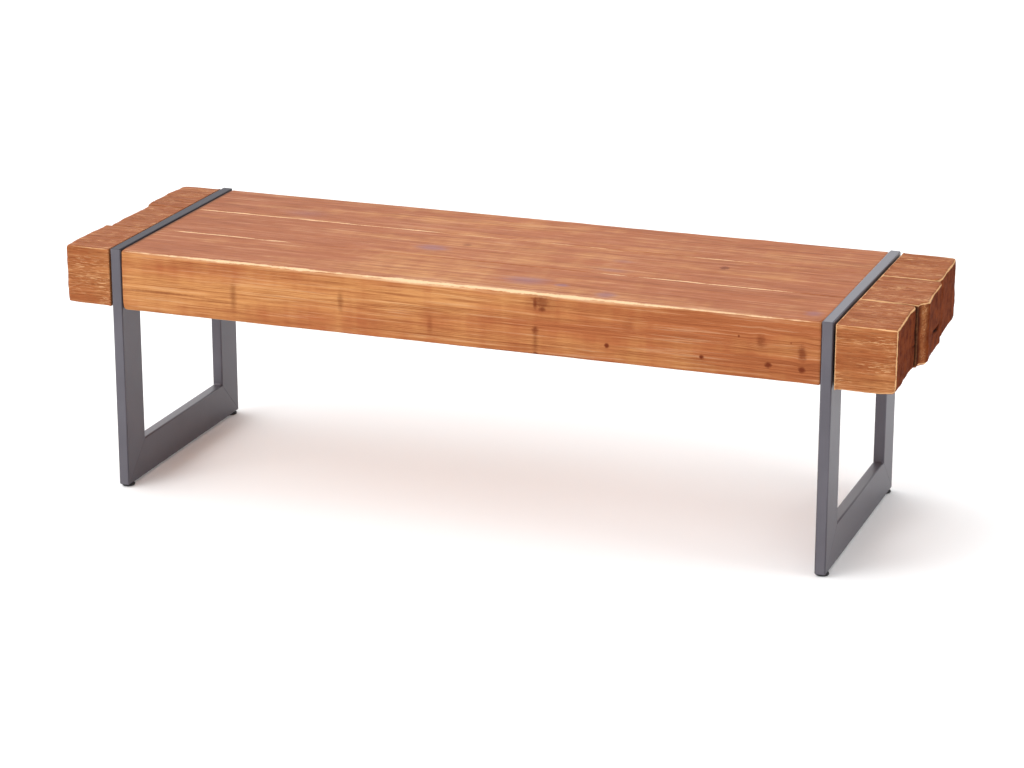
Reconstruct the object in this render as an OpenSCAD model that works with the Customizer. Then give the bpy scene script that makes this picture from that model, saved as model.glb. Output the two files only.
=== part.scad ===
// Slab bench: three heavy timbers lie side by side between two closed frames
// of rectangular steel tube, and short timber blocks carry the seat on past
// each frame. Screw-in glides level it on the floor.
// X runs along the seat, Y from front to back and Z up. The origin is on the
// floor, under the middle of the whole bench.

/* [Bench] */
// Height of the tops of the frames above the floor
seat_h = 450; // [400:5:520]
// Depth of the frames, front to back
bench_d = 470; // [420:5:540]
// Length of the timbers between the two frames
beam_len = 1286; // [900:2:1500]

/* [Timber] */
// Thickness of the timbers
timber_t = 110; // [90:1:130]
// How far the frames' tops stand proud of the timbers
strap_proud = 2; // [0:0.5:4]
// How far the frames' front and rear faces stand proud of the timbers
side_proud = 1; // [0:0.5:3]
// Easing on the edges of the long timbers
beam_ease = 4; // [2:0.5:8]
// Easing on the edges of the end blocks
block_ease = 7; // [3:0.5:12]

/* [End blocks] */
// Reach past the left frame of the front, centre and rear blocks
left_reach = [94, 82, 88]; // [75:1:140]
// Reach past the right frame of the front, centre and rear blocks
right_reach = [111, 121, 109]; // [75:1:140]
// Width of each left block
left_block_w = 155.5; // [150:0.5:158]
// Width of each right block
right_block_w = 157.5; // [150:0.5:158]
// Thickness of the left blocks
left_block_t = 107; // [95:1:115]
// Thickness of the right blocks
right_block_t = 114; // [95:1:115]
// Gap between a frame and its blocks
block_gap = 4; // [3:0.5:6]

/* [Frames] */
// Width of the steel tube, in the plane of the frame
tube_w = 70; // [50:5:80]
// Thickness of the steel tube, along the seat
tube_t = 20; // [20:1:30]
// Wall of the steel tube
tube_wall = 2; // [1.5:0.5:3]
// Outer corner radius of the steel tube
tube_r = 2.5; // [2.5:0.5:4]

/* [Fixings] */
// Diameter of the studs that clamp the frames to the timbers
stud_d = 10; // [8:2:10]
// Length of each stud
stud_len = 140; // [130:5:150]
// Spacing of the two studs in each timber
stud_gap = 50; // [40:5:60]
// Diameter of the dowels between the timbers
dowel_d = 12; // [8:2:16]
// Length of each dowel
dowel_len = 80; // [50:5:100]
// Number of dowels along each seam
dowels = 5; // [3:1:8]

/* [Glides] */
// Diameter of a glide's pad
pad_d = 24; // [20:1:30]
// Height of a glide's pad
pad_h = 3.9; // [3:0.1:6]
// Distance from the frame's front or rear face to the middle of a glide
glide_in = 16; // [14:1:30]
// Diameter of a glide's stud
glide_stud_d = 8; // [6:2:8]
// Length that a glide's stud stands above its pad
glide_stud_len = 20; // [16:1:24]

/* [Hidden] */

$fn = 48;
cut = 1;
snug = 0.1;

left = -1;
right = 1;
front = -1;
rear = 1;
rows = [-1, 0, 1];

insert_flange_t = 0.8;
pad_clear = 0.3;
foot_h = pad_h + pad_clear + insert_flange_t;
frame_h = seat_h - foot_h;
seat_mid_x = (max(left_reach) - max(right_reach)) / 2;

beam_w = (bench_d - 2 * side_proud) / 3;
timber_top = seat_h - strap_proud;
timber_mid_z = timber_top - timber_t / 2;
stud_z = seat_h - tube_w / 2;
tube_inner_r = 1;

washer_d = 2 * stud_d;
washer_t = 2;
nut_af = 1.7 * stud_d;
nut_t = stud_d / 2;
nut_pocket = washer_t + nut_t - block_gap;
stud_in_beam = stud_len / 2 - tube_t / 2;
pocket_d = 2.3 * stud_d;

insert_d = glide_stud_d + 3;
insert_len = 15;
insert_flange_d = glide_stud_d + 6;
glide_fit = 0.05;
glide_head_d = 15;
glide_head_t = 1.4;
glide_head_z = 1.2;

pine = [0.74, 0.40, 0.19];
end_pine = [0.66, 0.32, 0.15];
beech = [0.83, 0.68, 0.48];
steel_paint = [0.34, 0.33, 0.35];
zinc = [0.72, 0.73, 0.75];
black_plastic = [0.06, 0.06, 0.07];

// Middle of a frame's tube along X; side is left or right.
function frame_x(side) = seat_mid_x + side * (beam_len + tube_t) / 2;

// Middle of a timber across the seat; row is -1, 0 or 1 from the front.
function row_y(row) = row * beam_w;

// Places across the frame of its six studs.
function stud_ys() = [for (row = rows, s = [-0.5, 0.5]) row_y(row) + s * stud_gap];

// Rectangle centred on the origin with its four corners rounded.
module rounded_rect(w, h, r) {
    square([w - 2 * r, h], center = true);
    square([w, h - 2 * r], center = true);
    for (sx = [-1, 1], sy = [-1, 1])
        translate([sx * (w / 2 - r), sy * (h / 2 - r)])
            circle(r);
}

// Rectangle centred on the origin with its four corners cut off.
module eased_rect(w, h, e) {
    polygon([
        [e - w / 2, -h / 2], [w / 2 - e, -h / 2], [w / 2, e - h / 2], [w / 2, h / 2 - e],
        [w / 2 - e, h / 2], [e - w / 2, h / 2], [-w / 2, h / 2 - e], [-w / 2, e - h / 2]
    ]);
}

// Sawn timber centred on the origin, with all twelve edges eased.
module eased_timber(length, w, t, e) {
    intersection() {
        linear_extrude(t, center = true)
            eased_rect(length, w, e);
        rotate([90, 0, 0])
            linear_extrude(w, center = true)
                eased_rect(length, t, e);
        rotate([90, 0, 90])
            linear_extrude(length, center = true)
                eased_rect(w, t, e);
    }
}

// Holes that face along X at the six stud places, from x_from to x_to.
module stud_holes(ys, d, x_from, x_to) {
    for (y = ys)
        translate([min(x_from, x_to), y, stud_z])
            rotate([0, 90, 0])
                cylinder(d = d, h = abs(x_to - x_from));
}

// Places of the dowels along a seam.
module at_dowels() {
    for (i = [0 : dowels - 1])
        translate([seat_mid_x + beam_len * ((i + 0.5) / dowels - 0.5), 0, timber_mid_z])
            children();
}

// Holes for the dowels in the timbers on both sides of the seam at y.
module dowel_holes(y) {
    at_dowels()
        translate([0, y, 0])
            rotate([90, 0, 0])
                cylinder(d = dowel_d + 2 * snug, h = dowel_len + 2 * cut, center = true);
}

// Long timber between the frames, drilled in each end for two studs.
module beam(row) {
    color(pine)
        difference() {
            translate([seat_mid_x, row_y(row), timber_mid_z])
                eased_timber(beam_len, beam_w, timber_t, beam_ease);
            for (side = [left, right])
                stud_holes([for (s = [-0.5, 0.5]) row_y(row) + s * stud_gap],
                    stud_d + 2 * snug,
                    frame_x(side),
                    frame_x(side) - side * (tube_t / 2 + stud_in_beam + cut));
            if (row < 1)
                dowel_holes(row_y(row) + beam_w / 2);
            if (row > -1)
                dowel_holes(row_y(row) - beam_w / 2);
        }
}

// Short timber past a frame. It sits on two studs and bears on their nuts,
// which reach into a shallow pocket round each hole.
module block(side, row, reach, w, t) {
    face_x = frame_x(side) + side * (tube_t / 2 + block_gap);
    length = reach - block_gap;
    ys = [for (s = [-0.5, 0.5]) row_y(row) + s * stud_gap];
    color(end_pine)
        difference() {
            translate([face_x + side * length / 2, row * w, timber_top - t / 2])
                eased_timber(length, w, t, block_ease);
            stud_holes(ys, pocket_d, face_x - side * cut, face_x + side * nut_pocket);
            stud_holes(ys, stud_d + 2 * snug,
                face_x, frame_x(side) + side * (stud_len / 2 + cut));
        }
}

// Block past the left frame.
module left_block(row) {
    block(left, row, left_reach[row + 1], left_block_w, left_block_t);
}

// Block past the right frame.
module right_block(row) {
    block(right, row, right_reach[row + 1], right_block_w, right_block_t);
}

// Area of one frame bar, seen along X: a bar is cut at 45 degrees
// at both ends, from the frame's outer corners to its inner corners.
module mitred_area(length) {
    polygon([
        [-length / 2, 0], [length / 2, 0],
        [length / 2 - tube_w, tube_w], [tube_w - length / 2, tube_w]
    ]);
}

// Hollow tube that lies along Y on the floor of its own frame, cut to its
// mitres. The tube's outer wall is at Z = 0.
module mitred_tube(length) {
    intersection() {
        rotate([90, 0, 0])
            translate([0, tube_w / 2])
                linear_extrude(length, center = true)
                    difference() {
                        rounded_rect(tube_t, tube_w, tube_r);
                        rounded_rect(tube_t - 2 * tube_wall, tube_w - 2 * tube_wall,
                            tube_inner_r);
                    }
        rotate([90, 0, 90])
            linear_extrude(tube_t + 2 * cut, center = true)
                mitred_area(length);
    }
}

// Upright of a frame.
module leg(side, face) {
    color(steel_paint)
        translate([frame_x(side), face * bench_d / 2, foot_h + frame_h / 2])
            rotate([90 * face, 0, 0])
                mitred_tube(frame_h);
}

// Bar that crosses the seat between the timbers and the blocks, drilled
// through for the studs.
module top_bar(side) {
    color(steel_paint)
        difference() {
            translate([frame_x(side), 0, seat_h])
                rotate([180, 0, 0])
                    mitred_tube(bench_d);
            stud_holes(stud_ys(), stud_d + 1,
                frame_x(side) - tube_t, frame_x(side) + tube_t);
        }
}

// Bar along the floor, drilled in its underside for the two inserts.
module floor_bar(side) {
    color(steel_paint)
        difference() {
            translate([frame_x(side), 0, foot_h])
                mitred_tube(bench_d);
            for (face = [front, rear])
                translate([frame_x(side), face * (bench_d / 2 - glide_in), foot_h - cut])
                    cylinder(d = insert_d + 2 * snug, h = tube_wall + 2 * cut);
        }
}

// Studs screwed into the end grain of the long timbers and glued into the
// end blocks.
module frame_studs(side) {
    color(zinc)
        stud_holes(stud_ys(), stud_d,
            frame_x(side) - stud_len / 2, frame_x(side) + stud_len / 2);
}

// Washers against the outer face of a frame.
module frame_washers(side) {
    face_x = frame_x(side) + side * tube_t / 2;
    color(zinc)
        difference() {
            stud_holes(stud_ys(), washer_d, face_x, face_x + side * washer_t);
            stud_holes(stud_ys(), stud_d + 2 * snug,
                face_x - side * cut, face_x + side * (washer_t + cut));
        }
}

// Thin hexagon nuts on the washers.
module frame_nuts(side) {
    face_x = frame_x(side) + side * (tube_t / 2 + washer_t);
    color(zinc)
        difference() {
            for (y = stud_ys())
                translate([face_x + (side < 0 ? -nut_t : 0), y, stud_z])
                    rotate([0, 90, 0])
                        cylinder(d = nut_af / cos(30), h = nut_t, $fn = 6);
            stud_holes(stud_ys(), stud_d + 2 * snug,
                face_x - side * cut, face_x + side * (nut_t + cut));
        }
}

// Beech dowels across one seam between the long timbers.
module seam_dowels(seam) {
    color(beech)
        at_dowels()
            translate([0, seam * beam_w / 2, 0])
                rotate([90, 0, 0])
                    cylinder(d = dowel_d, h = dowel_len, center = true);
}

// Middle of a glide under a frame's corner.
module at_glide(side, face) {
    translate([frame_x(side), face * (bench_d / 2 - glide_in), 0])
        children();
}

// Threaded inserts set in the floor bars, one for each glide.
module glide_inserts() {
    color(zinc)
        for (side = [left, right], face = [front, rear])
            at_glide(side, face)
                difference() {
                    union() {
                        translate([0, 0, foot_h - insert_flange_t])
                            cylinder(d = insert_flange_d, h = insert_flange_t);
                        translate([0, 0, foot_h - insert_flange_t])
                            cylinder(d = insert_d, h = insert_len);
                    }
                    translate([0, 0, foot_h - insert_flange_t - cut])
                        cylinder(d = glide_stud_d, h = insert_len + 2 * cut);
                }
}

// Round plastic pad, moulded over the head of its stud.
module glide_pad(side, face) {
    stud_bore_d = glide_stud_d - 2 * glide_fit + 2 * snug;
    color(black_plastic)
        at_glide(side, face)
            difference() {
                rotate_extrude()
                    polygon([
                        [0, 0], [pad_d / 2 - 1.5, 0], [pad_d / 2, 1],
                        [pad_d / 2, pad_h - 0.6], [pad_d / 2 - 0.6, pad_h], [0, pad_h]
                    ]);
                translate([0, 0, glide_head_z - snug])
                    cylinder(d = glide_head_d + 2 * snug, h = glide_head_t + 2 * snug);
                translate([0, 0, glide_head_z])
                    cylinder(d = stud_bore_d, h = pad_h);
            }
}

// Steel stud of a glide, with the flat head that its pad is moulded on.
module glide_stud(side, face) {
    color(zinc)
        at_glide(side, face) {
            translate([0, 0, glide_head_z])
                cylinder(d = glide_head_d, h = glide_head_t);
            translate([0, 0, glide_head_z])
                cylinder(d = glide_stud_d - 2 * glide_fit,
                    h = pad_h - glide_head_z + glide_stud_len);
        }
}

beam(-1);  // front_beam
beam(0);  // centre_beam
beam(1);  // rear_beam
left_block(-1);  // left_front_block
left_block(0);  // left_centre_block
left_block(1);  // left_rear_block
right_block(-1);  // right_front_block
right_block(0);  // right_centre_block
right_block(1);  // right_rear_block
leg(left, front);  // left_front_leg
leg(left, rear);  // left_rear_leg
top_bar(left);  // left_top_bar
floor_bar(left);  // left_floor_bar
leg(right, front);  // right_front_leg
leg(right, rear);  // right_rear_leg
top_bar(right);  // right_top_bar
floor_bar(right);  // right_floor_bar
frame_studs(left);  // left_frame_studs
frame_washers(left);  // left_frame_washers
frame_nuts(left);  // left_frame_nuts
frame_studs(right);  // right_frame_studs
frame_washers(right);  // right_frame_washers
frame_nuts(right);  // right_frame_nuts
seam_dowels(front);  // front_seam_dowels
seam_dowels(rear);  // rear_seam_dowels
glide_inserts();
glide_pad(left, front);  // left_front_glide_pad
glide_stud(left, front);  // left_front_glide_stud
glide_pad(left, rear);  // left_rear_glide_pad
glide_stud(left, rear);  // left_rear_glide_stud
glide_pad(right, front);  // right_front_glide_pad
glide_stud(right, front);  // right_front_glide_stud
glide_pad(right, rear);  // right_rear_glide_pad
glide_stud(right, rear);  // right_rear_glide_stud
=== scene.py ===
"""Slab bench: three stained softwood timbers between two closed steel frames, with rough end blocks."""

import math

import bpy
import numpy as np
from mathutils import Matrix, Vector


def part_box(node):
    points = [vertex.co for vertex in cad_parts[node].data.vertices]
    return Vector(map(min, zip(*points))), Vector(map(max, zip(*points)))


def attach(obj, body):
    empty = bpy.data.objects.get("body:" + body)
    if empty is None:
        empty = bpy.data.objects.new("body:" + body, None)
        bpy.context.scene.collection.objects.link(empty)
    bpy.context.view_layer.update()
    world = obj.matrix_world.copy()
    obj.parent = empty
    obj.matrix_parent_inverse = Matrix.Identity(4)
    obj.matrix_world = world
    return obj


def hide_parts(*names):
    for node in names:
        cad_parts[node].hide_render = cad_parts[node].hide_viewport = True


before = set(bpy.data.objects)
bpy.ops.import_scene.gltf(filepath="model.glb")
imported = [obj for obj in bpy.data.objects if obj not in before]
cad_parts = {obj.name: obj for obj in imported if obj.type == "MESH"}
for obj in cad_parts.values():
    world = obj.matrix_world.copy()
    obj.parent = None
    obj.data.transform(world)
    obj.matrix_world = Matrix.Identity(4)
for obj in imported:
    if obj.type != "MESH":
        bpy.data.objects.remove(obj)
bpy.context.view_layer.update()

# ---------------------------------------------------------------------------
# The studio: a pale floor that runs out of sight, a large soft box high on the
# left, a weaker one off the right end, and a white surround, brighter to the left.
# The camera stands to the right of the front, a little above seat height.

camera_turn = math.radians(20.25)
camera_rise = math.radians(17.83)
camera_spot = Vector((1.8585, -5.038, 1.928))
camera_back = Vector((
    math.sin(camera_turn) * math.cos(camera_rise),
    -math.cos(camera_turn) * math.cos(camera_rise),
    math.sin(camera_rise),
))
camera_data = bpy.data.cameras.new("studio_camera")
camera_data.sensor_width = 36.0
camera_data.lens = 110.1
camera_data.clip_end = 100.0
camera = bpy.data.objects.new("studio_camera", camera_data)
camera.location = camera_spot
camera.rotation_euler = camera_back.to_track_quat("Z", "Y").to_euler()
bpy.context.scene.collection.objects.link(camera)
bpy.context.scene.camera = camera


def soft_box(name, spot, aim, size, power):
    """Square area lamp at spot, turned to face aim."""
    lamp = bpy.data.lights.new(name, "AREA")
    lamp.size = size
    lamp.energy = power
    holder = bpy.data.objects.new(name, lamp)
    holder.location = spot
    holder.rotation_euler = (Vector(spot) - Vector(aim)).to_track_quat("Z", "Y").to_euler()
    bpy.context.scene.collection.objects.link(holder)


soft_box("key_box", (-2.4, -3.2, 3.6), (0.0, 0.0, 0.35), 2.4, 58.0)
soft_box("fill_box", (2.6, -0.2, 0.9), (0.7, 0.0, 0.25), 1.0, 13.0)

surround_strength = 1.32
surround_fall_to_right = -1.15
surround = bpy.data.worlds.new("surround")
surround.use_nodes = True
surround_tree = surround.node_tree
background = surround_tree.nodes["Background"]
background.inputs["Color"].default_value = (1.0, 1.0, 1.0, 1.0)
toward = surround_tree.nodes.new("ShaderNodeTexCoord")
split = surround_tree.nodes.new("ShaderNodeSeparateXYZ")
surround_tree.links.new(toward.outputs["Generated"], split.inputs[0])
slope = surround_tree.nodes.new("ShaderNodeMath")
slope.operation = "MULTIPLY_ADD"
slope.inputs[1].default_value = surround_fall_to_right
slope.inputs[2].default_value = surround_strength
surround_tree.links.new(split.outputs[0], slope.inputs[0])
surround_tree.links.new(slope.outputs[0], background.inputs["Strength"])
bpy.context.scene.world = surround
bpy.context.scene.view_settings.view_transform = "Standard"

floor_size = 60.0
floor_mesh = bpy.data.meshes.new("studio_floor")
floor_half = floor_size / 2
floor_corners = [
    (-floor_half, -floor_half, 0.0),
    (floor_half, -floor_half, 0.0),
    (floor_half, floor_half, 0.0),
    (-floor_half, floor_half, 0.0),
]
floor_mesh.from_pydata(floor_corners, [], [(0, 1, 2, 3)])
studio_floor = bpy.data.objects.new("studio_floor", floor_mesh)
bpy.context.scene.collection.objects.link(studio_floor)
floor_paper = bpy.data.materials.new("floor_paper")
floor_paper.use_nodes = True
floor_shader = floor_paper.node_tree.nodes["Principled BSDF"]
floor_shader.inputs["Base Color"].default_value = (0.95, 0.955, 0.96, 1.0)
floor_shader.inputs["Roughness"].default_value = 0.9
floor_mesh.materials.append(floor_paper)

# ---------------------------------------------------------------------------
# The three long timbers: sawn softwood, planed, brushed along the grain and
# stained orange-brown. The outer arrises are worn through to pale wood, and
# the arrises along the seams only lightly. The frames are bolted to their ends.


def wander(points, cell, seed):
    """Smooth random field from -1 to 1. cell is the size of its lumps along X, Y and Z."""
    grid = points / np.array(cell) + 0.37 * seed
    base = np.floor(grid).astype(np.int64)
    share = grid - base
    share = share * share * (3.0 - 2.0 * share)
    total = np.zeros(len(points))
    for corner in np.ndindex(2, 2, 2):
        key = (base + np.array(corner)) * np.array((73856093, 19349663, 83492791))
        mixed = (key[:, 0] ^ key[:, 1] ^ key[:, 2] ^ (seed * 2654435761)) & 0xFFFFFFFF
        mixed = ((mixed ^ (mixed >> 15)) * 2246822519) & 0xFFFFFFFF
        mixed = ((mixed ^ (mixed >> 13)) * 3266489917) & 0xFFFFFFFF
        mixed = mixed ^ (mixed >> 16)
        weight = np.prod(np.where(np.array(corner) == 1, share, 1.0 - share), axis=1)
        total += weight * ((mixed & 0xFFFF) / 32767.5 - 1.0)
    return total


def cut_lines(low, high, step, margin, turns):
    """Places along one axis: close together in the rounded margins and step apart between them."""
    edge = margin * (1.0 - np.cos(np.linspace(0.0, math.pi / 2, turns + 1)))
    count = max(2, round((high - low - 2 * margin) / step))
    middle = np.linspace(low + margin, high - margin, count + 1)[1:-1]
    return np.concatenate([low + edge, middle, high - edge[::-1]])


def timber_skin(low, high, step, margin, turns=4):
    """Closed grid over a box: its points on the flat box and its four-sided faces."""
    axes = [cut_lines(low[a], high[a], step[a], margin, turns) for a in range(3)]
    counts = [len(line) for line in axes]
    keys, faces = [], []
    for a in range(3):
        b, c = (a + 1) % 3, (a + 2) % 3
        across, along = np.meshgrid(np.arange(counts[b]), np.arange(counts[c]), indexing="ij")
        for side in (0, counts[a] - 1):
            place = [None] * 3
            place[a] = np.full_like(across, side)
            place[b], place[c] = across, along
            key = (place[0] * counts[1] + place[1]) * counts[2] + place[2]
            ring = [key[:-1, :-1], key[1:, :-1], key[1:, 1:], key[:-1, 1:]]
            if side == 0:
                ring.reverse()
            keys.append(key.ravel())
            faces.append(np.stack([corner.ravel() for corner in ring], axis=1))
    used = np.unique(np.concatenate(keys))
    quads = np.searchsorted(used, np.concatenate(faces))
    points = np.stack([
        axes[0][used // (counts[1] * counts[2])],
        axes[1][used // counts[2] % counts[1]],
        axes[2][used % counts[2]],
    ], axis=1)
    return points, quads


def eased(points, low, high, radius):
    """The box's points with its edges rounded to radius, and the outward direction at each point."""
    room = radius[:, None]
    inner = np.clip(points, np.array(low) + room, np.array(high) - room)
    arm = points - inner
    out = arm / np.maximum(np.linalg.norm(arm, axis=1), 1e-9)[:, None]
    return inner + out * room, out


def edge_reach(points, low, high):
    """How far each point on the box's skin lies from the nearest edge."""
    gaps = np.minimum(points - np.array(low), np.array(high) - points)
    return np.sort(gaps, axis=1)[:, 1]


def near(value, place, reach):
    """1 at place, falling smoothly to 0 at reach from it."""
    share = np.clip(1.0 - np.abs(value - place) / reach, 0.0, 1.0)
    return share * share * (3.0 - 2.0 * share)


def skin_object(name, points, quads, marks, material):
    """Smooth mesh object with one number for each point under each name in marks."""
    mesh = bpy.data.meshes.new(name)
    mesh.from_pydata(points.tolist(), [], quads.tolist())
    mesh.polygons.foreach_set("use_smooth", np.ones(len(quads), dtype=bool))
    for mark, values in marks.items():
        layer = mesh.attributes.new(mark, "FLOAT", "POINT")
        layer.data.foreach_set("value", values.astype(np.float32))
    mesh.materials.append(material)
    mesh.update()
    piece = bpy.data.objects.new(name, mesh)
    bpy.context.scene.collection.objects.link(piece)
    return piece


def new_group(name, numbers_in, vectors_in, numbers_out, vectors_out=()):
    """Empty shader group with its sockets, and the nodes that lead in and out."""
    group = bpy.data.node_groups.new(name, "ShaderNodeTree")
    for label, value in numbers_in.items():
        socket = group.interface.new_socket(label, in_out="INPUT", socket_type="NodeSocketFloat")
        socket.default_value = value
    for label, value in vectors_in.items():
        socket = group.interface.new_socket(label, in_out="INPUT", socket_type="NodeSocketVector")
        socket.default_value = value
    for label in numbers_out:
        group.interface.new_socket(label, in_out="OUTPUT", socket_type="NodeSocketFloat")
    for label in vectors_out:
        group.interface.new_socket(label, in_out="OUTPUT", socket_type="NodeSocketVector")
    return group, group.nodes.new("NodeGroupInput"), group.nodes.new("NodeGroupOutput")


def wire(tree, source, target):
    """Joins an output to an input, or sets the input to a plain value."""
    if isinstance(source, bpy.types.NodeSocket):
        tree.links.new(source, target)
    elif source is not None:
        target.default_value = source


def sum_of(tree, kind, first, second=None, third=None, clamp=False):
    """Math node."""
    node = tree.nodes.new("ShaderNodeMath")
    node.operation = kind
    node.use_clamp = clamp
    for value, socket in zip((first, second, third), node.inputs):
        wire(tree, value, socket)
    return node.outputs[0]


def vector_of(tree, kind, first, second=None, scale=None):
    """Vector math node."""
    node = tree.nodes.new("ShaderNodeVectorMath")
    node.operation = kind
    wire(tree, first, node.inputs[0])
    if kind == "SCALE":
        wire(tree, scale, node.inputs["Scale"])
    elif second is not None:
        wire(tree, second, node.inputs[1])
    return node.outputs["Value" if kind == "LENGTH" else "Vector"]


def lumps(tree, place, stretch, detail=3.0, roughness=0.55):
    """Noise from 0 to 1, with stretch lumps to the metre along X, Y and Z."""
    node = tree.nodes.new("ShaderNodeTexNoise")
    node.inputs["Scale"].default_value = 1.0
    node.inputs["Detail"].default_value = detail
    node.inputs["Roughness"].default_value = roughness
    wire(tree, vector_of(tree, "MULTIPLY", place, stretch), node.inputs["Vector"])
    return node.outputs["Fac"]


def ease_between(tree, value, low, high):
    """0 below low and 1 above high, with a smooth turn between."""
    node = tree.nodes.new("ShaderNodeMapRange")
    node.interpolation_type = "SMOOTHSTEP"
    wire(tree, value, node.inputs["Value"])
    wire(tree, low, node.inputs["From Min"])
    wire(tree, high, node.inputs["From Max"])
    return node.outputs["Result"]


def blend_colours(tree, share, first, second):
    """Mix of two colours."""
    node = tree.nodes.new("ShaderNodeMix")
    node.data_type = "RGBA"
    wire(tree, share, node.inputs[0])
    wire(tree, first, node.inputs[6])
    wire(tree, second, node.inputs[7])
    return node.outputs[2]


def build_growth_rings():
    """Group: rings of late wood round a pith, which show as lines on the sides and arcs on the ends."""
    tree, given, result = new_group(
        "growth_rings",
        {"Ring Width": 0.005, "Drift": 0.012},
        {"Vector": (0, 0, 0), "Pith": (0, 0, 0), "Shift": (0, 0, 0)},
        ["Late Wood", "Band", "Fibre", "Streak", "Tone", "Figure"],
    )
    place = given.outputs["Vector"]
    sway = tree.nodes.new("ShaderNodeTexNoise")
    sway.inputs["Scale"].default_value = 1.0
    sway.inputs["Detail"].default_value = 2.0
    wire(tree, vector_of(tree, "MULTIPLY", place, (1.6, 9.0, 9.0)), sway.inputs["Vector"])
    centred = vector_of(tree, "SUBTRACT", sway.outputs["Color"], (0.5, 0.5, 0.5))
    drifted = vector_of(tree, "SCALE", centred, scale=given.outputs["Drift"])
    from_pith = vector_of(tree, "SUBTRACT", vector_of(tree, "ADD", place, drifted), given.outputs["Pith"])
    radius = vector_of(tree, "LENGTH", vector_of(tree, "MULTIPLY", from_pith, (0.02, 1.0, 1.0)))
    ring = sum_of(tree, "DIVIDE", radius, given.outputs["Ring Width"])
    bunched = sum_of(tree, "ADD", ring, sum_of(tree, "SINE", sum_of(tree, "MULTIPLY", ring, 0.9)))
    share = sum_of(tree, "FRACT", bunched)
    rise = sum_of(tree, "POWER", share, 2.2)
    fall = ease_between(tree, share, 1.0, 0.9)
    wire(tree, sum_of(tree, "MULTIPLY", rise, fall), result.inputs["Late Wood"])
    own = vector_of(tree, "ADD", place, given.outputs["Shift"])
    band = lumps(tree, own, (1.3, 30.0, 30.0), 1.0)
    wire(tree, ease_between(tree, band, 0.42, 0.62), result.inputs["Band"])
    wire(tree, lumps(tree, own, (14.0, 170.0, 420.0), 4.0, 0.65), result.inputs["Fibre"])
    wire(tree, lumps(tree, own, (5.0, 95.0, 230.0), 5.0, 0.72), result.inputs["Streak"])
    wire(tree, lumps(tree, own, (1.9, 22.0, 22.0), 3.0, 0.6), result.inputs["Tone"])
    wire(tree, lumps(tree, own, (27.0, 6.0, 6.0), 2.0, 0.6), result.inputs["Figure"])
    return tree


def build_blemish():
    """Group: a soft-edged spot of a given size. It gives its mask, and bends the grain round it."""
    tree, given, result = new_group(
        "blemish",
        {"Softness": 0.4, "Ragged": 0.5},
        {"Vector": (0, 0, 0), "Centre": (0, 0, 0), "Size": (0.01, 0.01, 0.01)},
        ["Mask"],
        ["Vector"],
    )
    place = given.outputs["Vector"]
    arm = vector_of(tree, "SUBTRACT", place, given.outputs["Centre"])
    reach = vector_of(tree, "LENGTH", vector_of(tree, "DIVIDE", arm, given.outputs["Size"]))
    ragged = sum_of(tree, "MULTIPLY_ADD", given.outputs["Ragged"], 1.3, -0.65)
    rough_reach = sum_of(tree, "ADD", reach, ragged)
    outer = sum_of(tree, "ADD", 1.0, given.outputs["Softness"])
    inner = sum_of(tree, "SUBTRACT", 1.0, given.outputs["Softness"])
    wire(tree, ease_between(tree, rough_reach, outer, inner), result.inputs["Mask"])
    halo = sum_of(tree, "EXPONENT", sum_of(tree, "MULTIPLY", sum_of(tree, "POWER", reach, 2.0), -0.35))
    push = vector_of(tree, "SCALE", arm, scale=sum_of(tree, "MULTIPLY", halo, -0.26))
    wire(tree, vector_of(tree, "ADD", place, push), result.inputs["Vector"])
    return tree


def build_worn_edge():
    """Group: pale wood where an edge has worn through. Reads the mesh's own distance to its edges."""
    tree, given, result = new_group(
        "worn_edge",
        {"Softness": 0.0022, "Roughness": 2.2},
        {"Vector": (0, 0, 0)},
        ["Mask"],
    )
    reach = tree.nodes.new("ShaderNodeAttribute")
    reach.attribute_name = "edge_reach"
    width = tree.nodes.new("ShaderNodeAttribute")
    width.attribute_name = "wear_width"
    patch = lumps(tree, given.outputs["Vector"], (75.0, 220.0, 220.0), 5.0, 0.75)
    swing = sum_of(tree, "MULTIPLY", sum_of(tree, "SUBTRACT", patch, 0.5), given.outputs["Roughness"])
    allowed = sum_of(tree, "MULTIPLY", width.outputs["Fac"], sum_of(tree, "ADD", swing, 1.0))
    left_over = sum_of(tree, "SUBTRACT", allowed, reach.outputs["Fac"])
    wire(tree, ease_between(tree, left_over, 0.0, given.outputs["Softness"]), result.inputs["Mask"])
    return tree


growth_rings = build_growth_rings()
blemish = build_blemish()
worn_edge = build_worn_edge()


def placed(tree, group, **values):
    """A group put into a material, with its inputs set or joined. Names use _ for a space."""
    node = tree.nodes.new("ShaderNodeGroup")
    node.node_tree = group
    for label, value in values.items():
        wire(tree, value, node.inputs[label.replace("_", " ")])
    return node


knot_core = (0.135, 0.024, 0.006, 1.0)
ink_blue = (0.235, 0.110, 0.132, 1.0)
brushed_groove = (0.115, 0.030, 0.012, 1.0)
end_stain = (0.190, 0.040, 0.010, 1.0)
end_stain_pores = (0.088, 0.015, 0.004, 1.0)
end_stain_rings = (0.05, 0.013, 0.007, 1.0)
# Painted shade: near-black laid into seam grooves, end splits and the gap beside the left top bar, where
# shade falls.
painted_seam_shade = (0.022, 0.007, 0.005, 1.0)
bending_knot = 0.0060


def painted_mark(tree, name):
    """A number that the mesh carries at each point."""
    node = tree.nodes.new("ShaderNodeAttribute")
    node.attribute_name = name
    return node.outputs["Fac"]


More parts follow.
